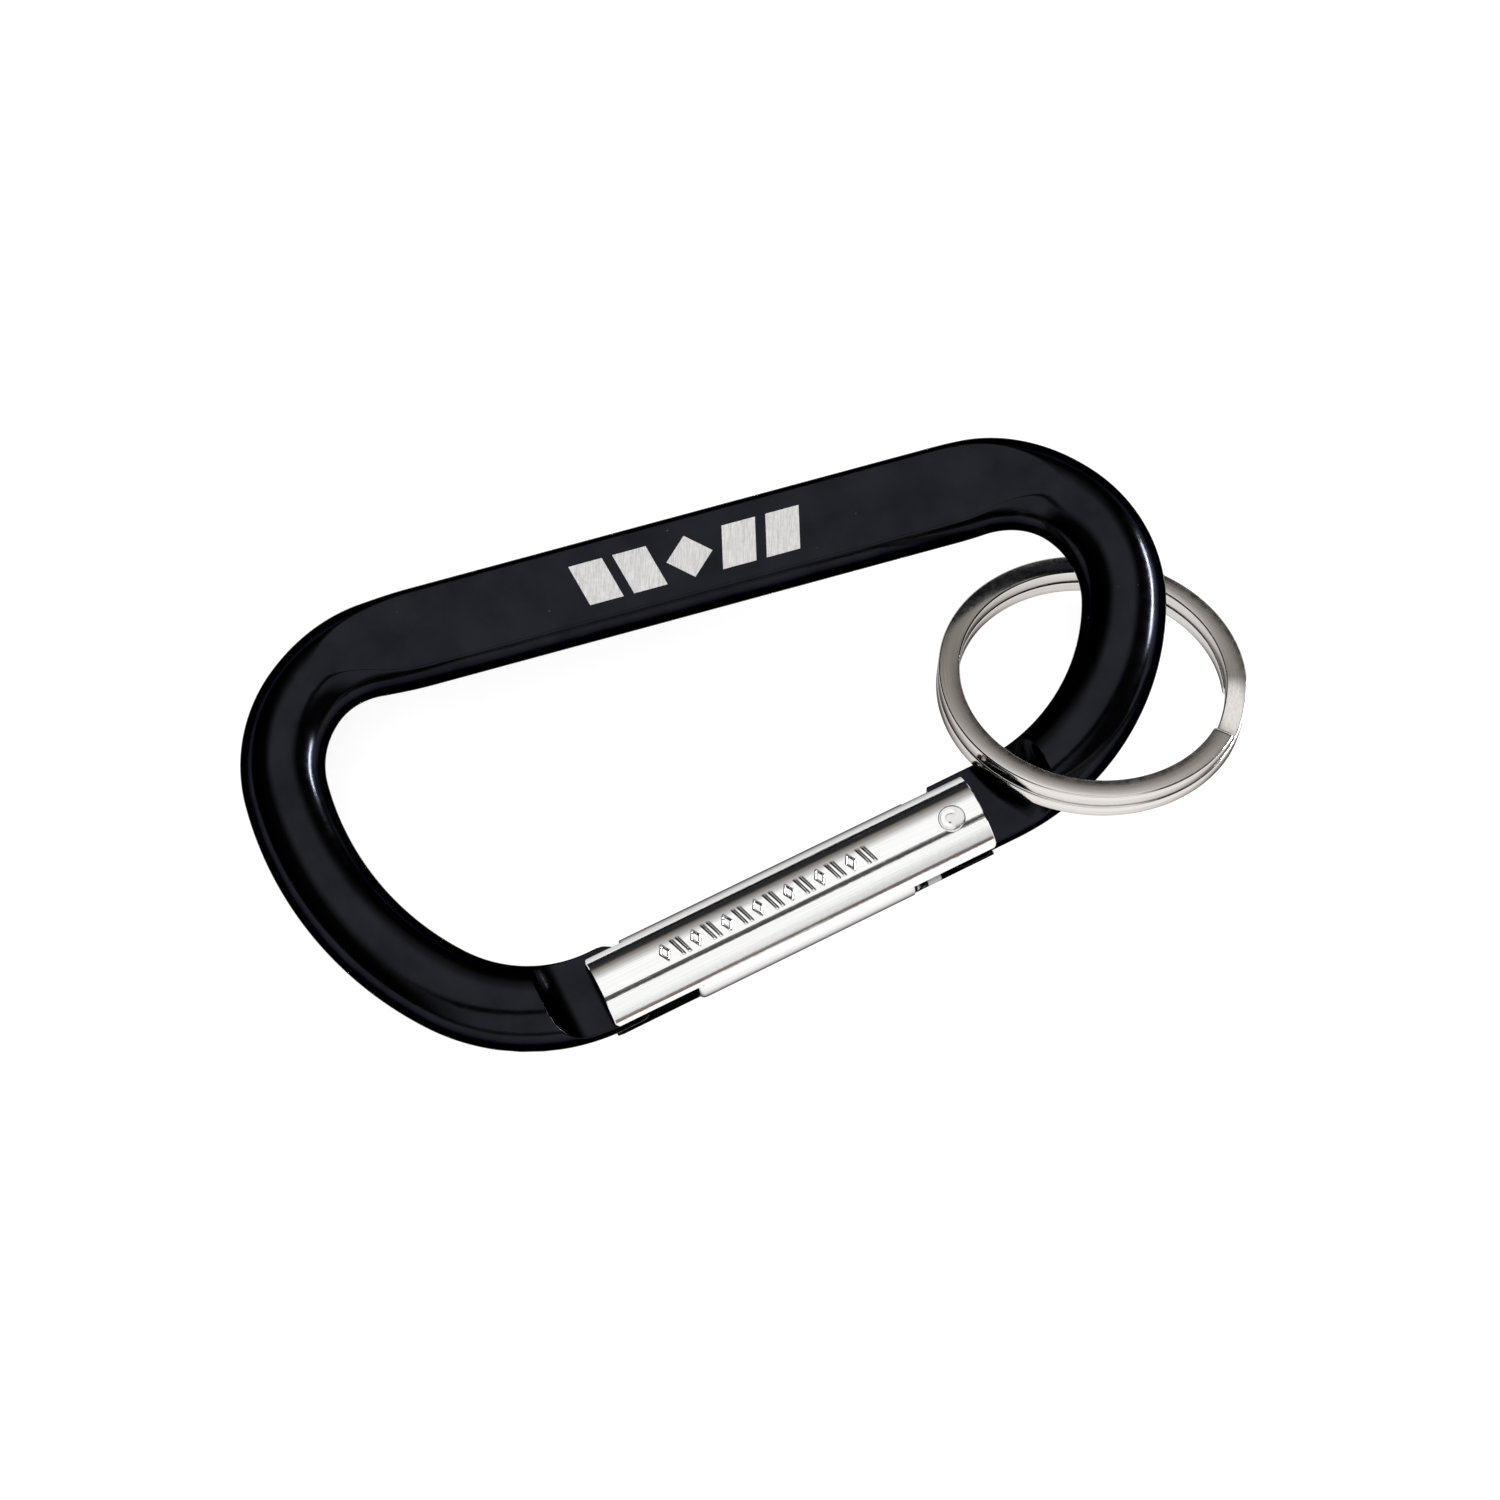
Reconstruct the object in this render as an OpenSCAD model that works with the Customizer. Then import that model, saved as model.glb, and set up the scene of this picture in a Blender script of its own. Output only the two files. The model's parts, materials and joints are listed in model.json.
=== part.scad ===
// Carabiner keyring: a bent-rod D frame, a sprung sleeve gate and a split ring.
// All sizes are millimetres. The frame lies in the XY plane with the spine along +X,
// the gate on the -Y side. The origin is within half a millimetre of the middle of the
// whole object's box, and Z = 0 is the frame's middle plane.

/* [Rod] */
// Diameter of the round rod
rod_d = 7.1; // [6.9:0.1:7.2]
// Diameter that the rod spreads to where it is pressed
spine_d = 8.4; // [8:0.1:8.6]
// Thickness of the pressed spine, face to face
spine_thick = 5.3; // [5:0.1:6]

/* [Frame outline] */
// Straight length of the spine's centreline
spine_len = 51.8; // [51:0.1:53]
// X of the middle of the spine
spine_mid_x = -2.3; // [-3:0.1:-1]
// Y of the spine's centreline
spine_y = 16.5; // [16:0.05:17]
// Slope of the gate against the spine, degrees
gate_slope = 10.8; // [10:0.1:12]
// Radius of the bend from the spine into the wide end
nose_bend_r = 10.2; // [10:0.1:10.5]
// Turn of that bend, degrees
nose_bend_turn = 90; // [89:0.5:91]
// Radius of the wide end's long sweep
nose_sweep_r = 26.7; // [26:0.1:27.5]
// Turn of the long sweep, degrees
nose_sweep_turn = 47; // [46:0.5:48]
// Radius of the foot that runs into the nose
nose_foot_r = 14.7; // [14.4:0.1:15]
// Radius of the bend from the spine into the narrow end
hinge_bend_r = 10.2; // [10:0.1:10.4]
// Turn of that bend, degrees
hinge_bend_turn = 106.5; // [105:0.5:108]
// Offset of the rod's centreline from the gate's axis, towards the spine
tongue_shift = 0.4; // [0.3:0.05:0.5]

/* [Tongues] */
// Thickness of both milled tongues
tongue_thick = 2.2; // [2:0.1:2.4]
// Radius of the cutter that mills them
cutter_r = 3; // [2.8:0.1:3.2]
// Length of the flat beyond the gate's nose end
nose_flat = 1.7; // [1.5:0.1:2]
// Length of the flat beyond the gate's hinge end
hinge_flat = 3.7; // [3.5:0.1:4]
// Length of the nose tongue inside the gate
nose_reach = 4; // [3.9:0.1:4.2]

/* [Gate] */
// Outside diameter of the gate sleeve
gate_d = 7.4; // [7.3:0.1:7.5]
// Thickness of the gate's sheet metal
sheet = 0.75; // [0.7:0.05:0.8]
// Distance from the hinge pivot to the gate's nose end
gate_reach = 32.3; // [32:0.1:32.6]
// Distance from the hinge pivot to the gate's hinge end
gate_tail = 2.6; // [2.5:0.1:2.7]
// Diameter of the hinge rivet's shank
rivet_d = 2.2; // [2:0.1:2.3]
// Radial running clearance of the rivet in the frame
rivet_play = 0.05; // [0.03:0.01:0.08]

/* [Spring] */
// Wire diameter of the gate spring
spring_wire = 0.55; // [0.5:0.05:0.6]
// Outside diameter of the gate spring
spring_d = 4.9; // [4.6:0.1:5.1]
// Number of turns
spring_turns = 11; // [9:1:12]

/* [Split ring] */
// Outside diameter of the split ring
ring_d = 26; // [25.5:0.1:26.2]
// Radial width of the ring's flat wire
ring_wire_w = 1.8; // [1.7:0.1:1.9]
// Thickness of the whole ring, two turns of wire
ring_thick = 2.7; // [2.6:0.1:2.8]
// X of the ring's centre
ring_x = 28.8; // [28.7:0.1:28.9]
// Y of the ring's centre
ring_y = -2.55; // [-2.6:0.05:-2.5]
// Height of the ring's centre against the frame's middle plane
ring_z = -0.45; // [-0.5:0.01:-0.44]
// Angle between the ring's plane and the frame's plane, degrees
ring_tilt = 24; // [24:0.5:25]
// Direction in which the ring's top leans, degrees from +X
ring_lean = 66; // [65:1:67]

/* [Hidden] */
$fn = 64;

black_anodised = [0.06, 0.06, 0.08];
nickel = [0.78, 0.78, 0.78];
spring_steel = [0.55, 0.56, 0.58];

rod_r = rod_d / 2;
spine_r = spine_d / 2;
spine_left = [spine_mid_x - spine_len / 2, spine_y];
spine_right = [spine_mid_x + spine_len / 2, spine_y];
nose_foot_turn = 180 + gate_slope - nose_bend_turn - nose_sweep_turn;
hinge_sweep_turn = 180 - gate_slope - hinge_bend_turn;

// Unit vector at an angle in the frame's plane, and its left-hand normal.
function heading(a) = [cos(a), sin(a)];
function left_of(a) = [-sin(a), cos(a)];

// Point reached from p, heading h, after an arc of radius r that turns by a (left is positive).
function arc_end(p, h, r, a) =
    p + sign(a) * r * [sin(h + a) - sin(h), cos(h) - cos(h + a)];

// Distance travelled across the gate's axis for each millimetre of radius.
function drift(h, a) = arc_end([0, 0], h, 1, a) * left_of(gate_slope);

// The wide end: three arcs from the spine's left end to the nose.
nose_p1 = arc_end(spine_left, 180, nose_bend_r, nose_bend_turn);
nose_h1 = 180 + nose_bend_turn;
nose_p2 = arc_end(nose_p1, nose_h1, nose_sweep_r, nose_sweep_turn);
nose_h2 = nose_h1 + nose_sweep_turn;
nose_p3 = arc_end(nose_p2, nose_h2, nose_foot_r, nose_foot_turn);

// The narrow end: two arcs. The second radius is the one that brings the rod back
// onto the line of the nose.
hinge_p1 = arc_end(spine_right, 0, hinge_bend_r, -hinge_bend_turn);
hinge_sweep_r = (nose_p3 - hinge_p1) * left_of(gate_slope)
    / drift(-hinge_bend_turn, -hinge_sweep_turn);
hinge_p2 = arc_end(hinge_p1, -hinge_bend_turn, hinge_sweep_r, -hinge_sweep_turn);

// The pivot lies on the gate's axis, a set distance past the end of the last arc.
pivot_past_arc = 4.7;
pivot = hinge_p2 - pivot_past_arc * heading(gate_slope) - tongue_shift * left_of(gate_slope);

// The rod is built from bends and bars. Every second one is tucked: a hair thinner, and
// a little longer at each end, so that it ends inside its neighbours.
tuck_len = 0.2;
tuck_step = 0.01;

// Round rod bent through an arc from p, heading h, with radius r and turn a.
module bend(p, h, r, a, tucked) {
    side = sign(a);
    centre = p + side * r * left_of(h);
    start = h - side * 90 + min(a, 0);
    lap = tucked ? tuck_len / r * 180 / PI : 0;
    translate([centre[0], centre[1], 0]) rotate(start - lap) {
        rotate_extrude(angle = abs(a) + 2 * lap) {
            translate([r, 0]) circle(r = tucked ? rod_r - tuck_step : rod_r);
        }
    }
}

// Round bar along a heading, from radius r1 to radius r2.
module bar(p, h, len, r1, r2, tucked) {
    lap = tucked ? tuck_len : 0;
    thin = tucked ? tuck_step : 0;
    translate([p[0], p[1], 0]) rotate(h) translate([-lap, 0, 0]) rotate([0, 90, 0]) {
        cylinder(h = len + 2 * lap, r1 = r1 - thin, r2 = r2 - thin);
    }
}

// Half of the press tool: a flat with an eased edge at both ends of the spine.
press_ease = 4;
press_steps = 6;
press_top = 8;
module press_tool() {
    rise = rod_r - spine_thick / 2;
    flat_from = spine_left[0] + press_ease;
    flat_to = spine_right[0] - press_ease;
    ease = [for (i = [0 : press_steps]) let (t = i / press_steps) [t * press_ease, t * t * rise]];
    profile = concat(
        [for (q = ease) [flat_to + q[0], spine_thick / 2 + q[1]]],
        [[spine_right[0], press_top], [spine_left[0], press_top]],
        [for (i = [press_steps : -1 : 0]) [flat_from - ease[i][0], spine_thick / 2 + ease[i][1]]]
    );
    translate([0, spine_y, 0]) rotate([90, 0, 0]) {
        linear_extrude(2 * spine_d, center = true) polygon(profile);
    }
}

// Centre of the rod everywhere: the spine, which is spread by the press, three arcs at
// the wide end, two at the narrow end, and a straight stub for each tongue.
tongue_run = 5.5;
hinge_run = pivot_past_arc + 3.5;
module bent_rod() {
    spread_len = spine_len - 2 * press_ease;
    bar(spine_left, 0, press_ease, rod_r, spine_r, true);
    bar(spine_left + [press_ease, 0], 0, spread_len, spine_r, spine_r, false);
    bar(spine_right - [press_ease, 0], 0, press_ease, spine_r, rod_r, true);
    bend(spine_left, 180, nose_bend_r, nose_bend_turn, false);
    bend(nose_p1, nose_h1, nose_sweep_r, nose_sweep_turn, true);
    bend(nose_p2, nose_h2, nose_foot_r, nose_foot_turn, false);
    bar(nose_p3, gate_slope, tongue_run, rod_r, rod_r, true);
    bend(spine_right, 0, hinge_bend_r, -hinge_bend_turn, false);
    bend(hinge_p1, -hinge_bend_turn, hinge_sweep_r, -hinge_sweep_turn, true);
    bar(hinge_p2, gate_slope - 180, hinge_run, rod_r, rod_r, false);
}

// Smooth step from 0 to 1 as t goes from 0 to 1.
function smooth(t) = let (c = max(0, min(1, t))) c * c * (3 - 2 * c);

// Closed skin over a list of rings of equal length, with flat end caps.
module skin(rings) {
    n = len(rings[0]);
    last = len(rings) - 1;
    walls = [
        for (i = [0 : last - 1]) for (j = [0 : n - 1]) let (k = (j + 1) % n)
            [i * n + j, i * n + k, (i + 1) * n + k, (i + 1) * n + j]
    ];
    start_cap = [for (j = [n - 1 : -1 : 0]) j];
    end_cap = [for (j = [0 : n - 1]) last * n + j];
    polyhedron([for (ring = rings) each ring], concat([start_cap], walls, [end_cap]));
}

// Places its children in the gate's own frame: origin on the pivot, +X along the gate
// to the nose, +Y away from the spine.
module at_gate() {
    translate([pivot[0], pivot[1], 0]) rotate(180 + gate_slope) children();
}

// Removes the rod above and below a tongue. The flat runs from x = from in the
// direction run (1 or -1), and the cutter's radius ends it on the other side.
mill_len = 14;
mill_w = 16;
mill_top = 8;
module mill(from, run) {
    floor_z = tongue_thick / 2;
    scoop = [
        for (a = [0 : 9 : 90]) [from - run * cutter_r * sin(a), floor_z + cutter_r * (1 - cos(a))]
    ];
    profile = concat(
        [[from + run * mill_len, mill_top], [from + run * mill_len, floor_z]],
        scoop,
        [[from - run * cutter_r, mill_top]]
    );
    for (up = [0, 1]) mirror([0, 0, up]) rotate([90, 0, 0]) {
        linear_extrude(mill_w, center = true) polygon(profile);
    }
}

// Edges of the rod where it is milled, measured across the gate's axis.
tongue_in = -rod_r - tongue_shift;
tongue_out = rod_r - tongue_shift;

// Outline of the nose tongue's rounded tip. The corner on the spine side is the stop
// that the sleeve's wall closes against.
tip_x = gate_reach - nose_reach;
stop_r = 3.2;
heel_r = 1.8;
module nose_tip_outline() {
    mid = tongue_in + stop_r;
    translate([tip_x + stop_r, mid]) circle(r = stop_r);
    translate([tip_x + heel_r, tongue_out - heel_r]) circle(r = heel_r);
    translate([tip_x, mid]) square([10, tongue_out - heel_r - mid]);
    translate([tip_x + stop_r, tongue_in - 1]) square([10, stop_r + 1]);
    translate([tip_x + heel_r, mid]) square([10, tongue_out + 1 - mid]);
}

// Outline of the hinge tongue's end: a shoulder on the spine side, a cam lobe that
// pushes the plunger, and a rounded heel.
cam_r = 2;
cam_x = 0.2;
cam_y = -1.2;
shoulder_x = 0.4;
shoulder_r = 0.4;
heel_x = -1;
module hinge_end_outline() {
    translate([cam_x, cam_y]) circle(r = cam_r);
    translate([heel_x, 0]) circle(r = tongue_out);
    translate([shoulder_x - shoulder_r, tongue_in + shoulder_r]) circle(r = shoulder_r);
    translate([heel_x - 1, tongue_in + shoulder_r]) square([1 + shoulder_x - heel_x, -tongue_in]);
    translate([heel_x - 1, tongue_in]) square([1 + shoulder_x - shoulder_r - heel_x, -tongue_in]);
}

// Bent-rod body: pressed spine, round bends, and a milled tongue at each end.
module frame() {
    color(black_anodised)
    difference() {
        bent_rod();
        press_tool();
        mirror([0, 0, 1]) press_tool();
        at_gate() {
            mill(gate_reach + nose_flat, -1);
            mill(-gate_tail - hinge_flat, 1);
            translate([0, 0, -mill_w / 2]) linear_extrude(mill_w) {
                difference() {
                    translate([tip_x - 4, -mill_w / 2]) square([8, mill_w]);
                    nose_tip_outline();
                }
                difference() {
                    translate([heel_x, -mill_w / 2]) square([8, mill_w]);
                    hinge_end_outline();
                }
            }
            cylinder(r = rivet_d / 2 + rivet_play, h = mill_w, center = true);
        }
    }
}

// Slots in the sleeve, as [from x, to x, side, width]: side 1 faces away from the spine.
slot_over = 2;
nose_slot_w = 3.8;
hinge_slot_w = 2.8;
wall_from = 5.05;
wall_to = 24.85;
inner_slot_hinge = 2.8;
inner_slot_nose = 28.9;
sleeve_slots = [
    [-gate_tail - slot_over, wall_from, 1, hinge_slot_w],
    [-gate_tail - slot_over, inner_slot_hinge, -1, hinge_slot_w],
    [wall_to, gate_reach + slot_over, 1, nose_slot_w],
    [inner_slot_nose, gate_reach + slot_over, -1, nose_slot_w]
];

// Square corner with a quarter circle left standing, for rounding the cheeks' corners.
cheek_corner_r = 0.5;
cheek_corner_lift = 0.03;
module corner_waste() {
    difference() {
        square(cheek_corner_r + 1);
        circle(r = cheek_corner_r);
    }
}

// Rolled sheet sleeve, slotted at both ends, with a tab bent in to seat the spring.
rivet_head_r = 1.2;
rivet_head_z = 3.5;
seat_tab_in = 1.8;
seat_tab_grip = 0.15;
module gate() {
    sleeve_len = gate_reach + gate_tail;
    edge_y = sqrt(pow(gate_d / 2, 2) - pow(nose_slot_w / 2, 2)) + cheek_corner_lift;
    color(nickel)
    at_gate() {
        difference() {
            translate([-gate_tail, 0, 0]) rotate([0, 90, 0]) cylinder(d = gate_d, h = sleeve_len);
            translate([-gate_tail - 1, 0, 0]) rotate([0, 90, 0]) {
                cylinder(r = gate_d / 2 - sheet, h = sleeve_len + 2);
            }
            for (s = sleeve_slots) {
                translate([s[0], s[2] > 0 ? 0 : -gate_d, -s[3] / 2]) cube([s[1] - s[0], gate_d, s[3]]);
            }
            for (side = [0, 1]) mirror([0, side, 0]) {
                translate([gate_reach - cheek_corner_r, edge_y - cheek_corner_r, -gate_d]) {
                    linear_extrude(2 * gate_d) corner_waste();
                }
                translate([cheek_corner_r - gate_tail, edge_y - cheek_corner_r, -gate_d]) {
                    mirror([1, 0, 0]) linear_extrude(2 * gate_d) corner_waste();
                }
            }
            cylinder(d = rivet_d, h = 2 * gate_d, center = true);
            for (up = [0, 1]) mirror([0, 0, up]) {
                translate([0, 0, rivet_head_z]) cylinder(r = rivet_head_r, h = 2);
            }
        }
        translate([wall_to - sheet, -seat_tab_in, -nose_slot_w / 2]) {
            cube([sheet, seat_tab_in + gate_d / 2 - sheet + seat_tab_grip, nose_slot_w]);
        }
    }
}

// Hinge rivet, peened over flush with the sleeve at both ends, each end with a dimple.
rivet_top = 3.8;
dimple_r = 2.5;
dimple_depth = 0.15;
module hinge_rivet() {
    color(nickel)
    at_gate() difference() {
        union() {
            cylinder(d = rivet_d, h = 2 * rivet_head_z, center = true);
            for (up = [0, 1]) mirror([0, 0, up]) {
                translate([0, 0, rivet_head_z]) cylinder(r = rivet_head_r, h = rivet_top - rivet_head_z);
            }
        }
        for (up = [-1, 1]) translate([0, 0, up * (rivet_top + dimple_r - dimple_depth)]) sphere(r = dimple_r);
    }
}

// Headed pin that the spring presses against the frame's cam.
plunger_r = 2.7;
plunger_head = 1.2;
plunger_pin_r = 1.5;
plunger_len = 6;
plunger_gap = 0.05;
plunger_x = cam_x + cam_r + plunger_gap;
module spring_plunger() {
    color(spring_steel)
    at_gate() translate([plunger_x, 0, 0]) rotate([0, 90, 0]) {
        cylinder(r = plunger_r, h = plunger_head);
        cylinder(r = plunger_pin_r, h = plunger_len);
    }
}

// Compression spring between the plunger's head and the sleeve's tab. Its end turns are
// closed, so the pitch is one wire there and even between.
coil_steps = 14;
spring_from = plunger_x + plunger_head + spring_wire / 2;
spring_to = wall_to - sheet - spring_wire / 2;
closed_pitch = spring_wire * 1.02;
open_pitch = (spring_to - spring_from - 2 * closed_pitch) / (spring_turns - 2);
function spring_x(t) =
    spring_from + min(t, 1) * closed_pitch
    + max(0, min(t, spring_turns - 1) - 1) * open_pitch
    + max(0, t - spring_turns + 1) * closed_pitch;
spring_rings = [
    for (i = [0 : spring_turns * coil_steps])
        let (t = i / coil_steps, a = 360 * t, r = (spring_d - spring_wire) / 2) [
            for (q = [0 : 60 : 300])
                let (out = r + spring_wire / 2 * cos(q), along = spring_wire / 2 * sin(q))
                    [spring_x(t) + along, out * cos(a), out * sin(a)]
        ]
];
module gate_spring() {
    color(spring_steel) at_gate() skin(spring_rings);
}

// Split ring: one flat wire, two turns deep, that steps from the lower turn to the upper.
ring_steps = 60;
ring_gap = 0.04;
ring_bevel = 0.2;
ring_jog = 28;
ring_start = -81;
wire_half_w = ring_wire_w / 2;
wire_half_t = (ring_thick / 2 - ring_gap / 2) / 2;
ring_layer = ring_thick / 4 + ring_gap / 4;
wire_section = [
    for (q = [[1, -1], [1, 1], [-1, 1], [-1, -1]]) each (q[0] * q[1] < 0
        ? [[q[0] * (wire_half_w - ring_bevel), q[1] * wire_half_t], [q[0] * wire_half_w, q[1] * (wire_half_t - ring_bevel)]]
        : [[q[0] * wire_half_w, q[1] * (wire_half_t - ring_bevel)], [q[0] * (wire_half_w - ring_bevel), q[1] * wire_half_t]])
];
ring_span = 720 - ring_jog;
ring_rings = [
    for (i = [0 : 2 * ring_steps])
        let (
            t = ring_span * i / (2 * ring_steps),
            a = ring_start + t,
            z = ring_layer * (2 * smooth((t - 360 + ring_jog) / ring_jog) - 1),
            r = ring_d / 2 - wire_half_w
        ) [for (q = wire_section) [(r + q[0]) * cos(a), (r + q[0]) * sin(a), z + q[1]]]
];
module split_ring() {
    color(nickel)
    translate([ring_x, ring_y, ring_z]) rotate([0, ring_tilt, ring_lean]) skin(ring_rings);
}

frame();
gate();
hinge_rivet();
gate_spring();
spring_plunger();
split_ring();
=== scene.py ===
"""Looks of the carabiner keyring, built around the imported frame.

Shapes are worked out in millimetres and turned into metres by mesh_object().
"""
import json
import math

import bmesh
import bpy
import numpy as np
from mathutils import Matrix, Vector


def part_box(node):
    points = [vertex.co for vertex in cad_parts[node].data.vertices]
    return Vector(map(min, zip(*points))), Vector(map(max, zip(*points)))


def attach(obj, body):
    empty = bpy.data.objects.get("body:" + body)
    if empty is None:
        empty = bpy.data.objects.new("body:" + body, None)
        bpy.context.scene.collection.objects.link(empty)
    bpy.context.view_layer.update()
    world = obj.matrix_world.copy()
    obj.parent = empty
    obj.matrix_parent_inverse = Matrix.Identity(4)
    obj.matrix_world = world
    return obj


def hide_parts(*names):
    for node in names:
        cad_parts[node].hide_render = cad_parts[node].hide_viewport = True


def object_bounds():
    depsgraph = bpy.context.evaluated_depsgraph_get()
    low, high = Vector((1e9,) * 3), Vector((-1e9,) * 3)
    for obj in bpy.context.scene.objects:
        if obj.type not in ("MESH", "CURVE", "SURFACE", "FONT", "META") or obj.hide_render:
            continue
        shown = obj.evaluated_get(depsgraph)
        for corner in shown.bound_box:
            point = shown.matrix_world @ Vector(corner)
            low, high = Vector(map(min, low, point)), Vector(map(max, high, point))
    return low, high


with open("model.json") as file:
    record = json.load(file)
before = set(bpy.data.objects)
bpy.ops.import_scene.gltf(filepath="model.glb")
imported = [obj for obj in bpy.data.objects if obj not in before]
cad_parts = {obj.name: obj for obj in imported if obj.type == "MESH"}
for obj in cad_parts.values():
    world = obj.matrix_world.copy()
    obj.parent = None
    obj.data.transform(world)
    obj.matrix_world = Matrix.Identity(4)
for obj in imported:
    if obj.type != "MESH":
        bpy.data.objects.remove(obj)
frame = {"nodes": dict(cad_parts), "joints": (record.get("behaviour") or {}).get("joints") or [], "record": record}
cad_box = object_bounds()
MM = 0.001

# ---------------------------------------------------------------- places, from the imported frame
joints = {j["name"]: j for j in frame["joints"]}
mounts = {m["name"]: m for m in frame["record"]["mounts"]}
pivot = np.array(joints["gate_hinge"]["pos_m"][:2]) / MM
gate_dir = np.array(joints["plunger_slide"]["axis"][:2])
SLOPE = math.degrees(math.atan2(-gate_dir[1], -gate_dir[0]))
spine_mid = np.array(mounts["spine_flat"]["pos_m"]) / MM
SPINE_HALF = spine_mid[2]
frame_top = np.array(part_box("frame")[1]) / MM
gate_top = np.array(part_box("gate")[1]) / MM
ring_centre = np.array(joints["ring_swing"]["pos_m"]) / MM
ring_normal = np.array(mounts["ring_eye"]["axis"])
ring_side = np.array(joints["ring_swing"]["axis"])
ring_axes = np.column_stack([np.cross(ring_side, ring_normal), ring_side, ring_normal])

# ---------------------------------------------------------------- sizes, in millimetres
ROD_R = 3.55
SPINE_R = frame_top[1] - spine_mid[1]
SPINE_LEN = 51.8
# radius and turn of each bend, from the spine's ends
NOSE_BENDS = [(10.2, 90.0), (26.7, 47.0), (14.7, 180 + SLOPE - 137)]
HINGE_BEND = (10.2, 106.5)
TONGUE_SHIFT = 0.4
TONGUE_HALF = 1.1
CUTTER_R = 3.0
EDGE = 0.13
GATE_R = gate_top[2]
GATE_R_HINGE = GATE_R - 0.06
SHEET = 0.75
GATE_REACH = 32.3
GATE_TAIL = 2.6
# along the gate's line from the pivot
NOSE_TIP = 28.3
NOSE_FLAT_END = 34.0
HINGE_FLAT_END = -6.3
HINGE_TIP = 2.2
PLUNGER_GAP = 0.05
PLUNGER_HEAD = 1.2
PLUNGER_STROKE = 0.62
SEAT_OUTER = 24.85
SEAT = SEAT_OUTER - SHEET
RING_R = 12.97
RING_WIRE_W = 1.8
RING_THICK = 2.68


def unit(degrees):
    a = np.radians(degrees)
    return np.stack([np.cos(a), np.sin(a)], -1)


def smooth(t):
    t = np.clip(t, 0, 1)
    return t * t * (3 - 2 * t)


# ---------------------------------------------------------------- mesh helpers
def mesh_object(name, verts, faces, materials, face_material=None, *, sharp, body, replaces):
    """Piece from points in millimetres. Edges sharper than the given angle stay crisp."""
    mesh = bpy.data.meshes.new(name)
    mesh.from_pydata((np.asarray(verts, float) * MM).tolist(), [], [list(map(int, f)) for f in faces])
    for m in materials:
        mesh.materials.append(m)
    if face_material:
        mesh.polygons.foreach_set("material_index", list(face_material))
    bm = bmesh.new()
    bm.from_mesh(mesh)
    bmesh.ops.recalc_face_normals(bm, faces=bm.faces)
    bm.to_mesh(mesh)
    bm.free()
    mesh.shade_smooth()
    mesh.set_sharp_from_angle(angle=math.radians(sharp))
    obj = bpy.data.objects.new(name, mesh)
    bpy.context.scene.collection.objects.link(obj)
    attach(obj, body)
    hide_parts(replaces)


def skin(rings):
    """Vertices and faces of a tube over rings of equal length, with a fan of triangles at each end."""
    rings = np.asarray(rings, float)
    m, n = rings.shape[:2]
    verts = rings.reshape(-1, 3)
    i, j = np.meshgrid(np.arange(m - 1), np.arange(n), indexing="ij")
    k = (j + 1) % n
    near, far = i * n, (i + 1) * n
    faces = np.stack([near + j, near + k, far + k, far + j], -1).reshape(-1, 4).tolist()
    for ring, base, flip in ((rings[0], 0, True), (rings[-1], (m - 1) * n, False)):
        centre = len(verts)
        verts = np.vstack([verts, ring.mean(0)])
        for a in range(n):
            b = (a + 1) % n
            faces.append([base + b, base + a, centre] if flip else [base + a, base + b, centre])
    return verts, faces


def prism(points, z0, z1):
    """Vertices and faces of a flat outline extruded from z0 to z1."""
    n = len(points)
    verts = [(x, y, z) for z in (z0, z1) for x, y in points]
    faces = [list(range(n))[::-1], list(range(n, 2 * n))]
    faces += [[a, (a + 1) % n, n + (a + 1) % n, n + a] for a in range(n)]
    return verts, faces


def join(parts):
    """One vertex list, face list and material list from several (verts, faces, material index)."""
    verts, faces, index = [], [], []
    for v, f, m in parts:
        base = len(verts)
        verts.extend(np.asarray(v, float).tolist())
        faces.extend([[base + int(a) for a in face] for face in f])
        index.extend([m] * len(f))
    return verts, faces, index


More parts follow.
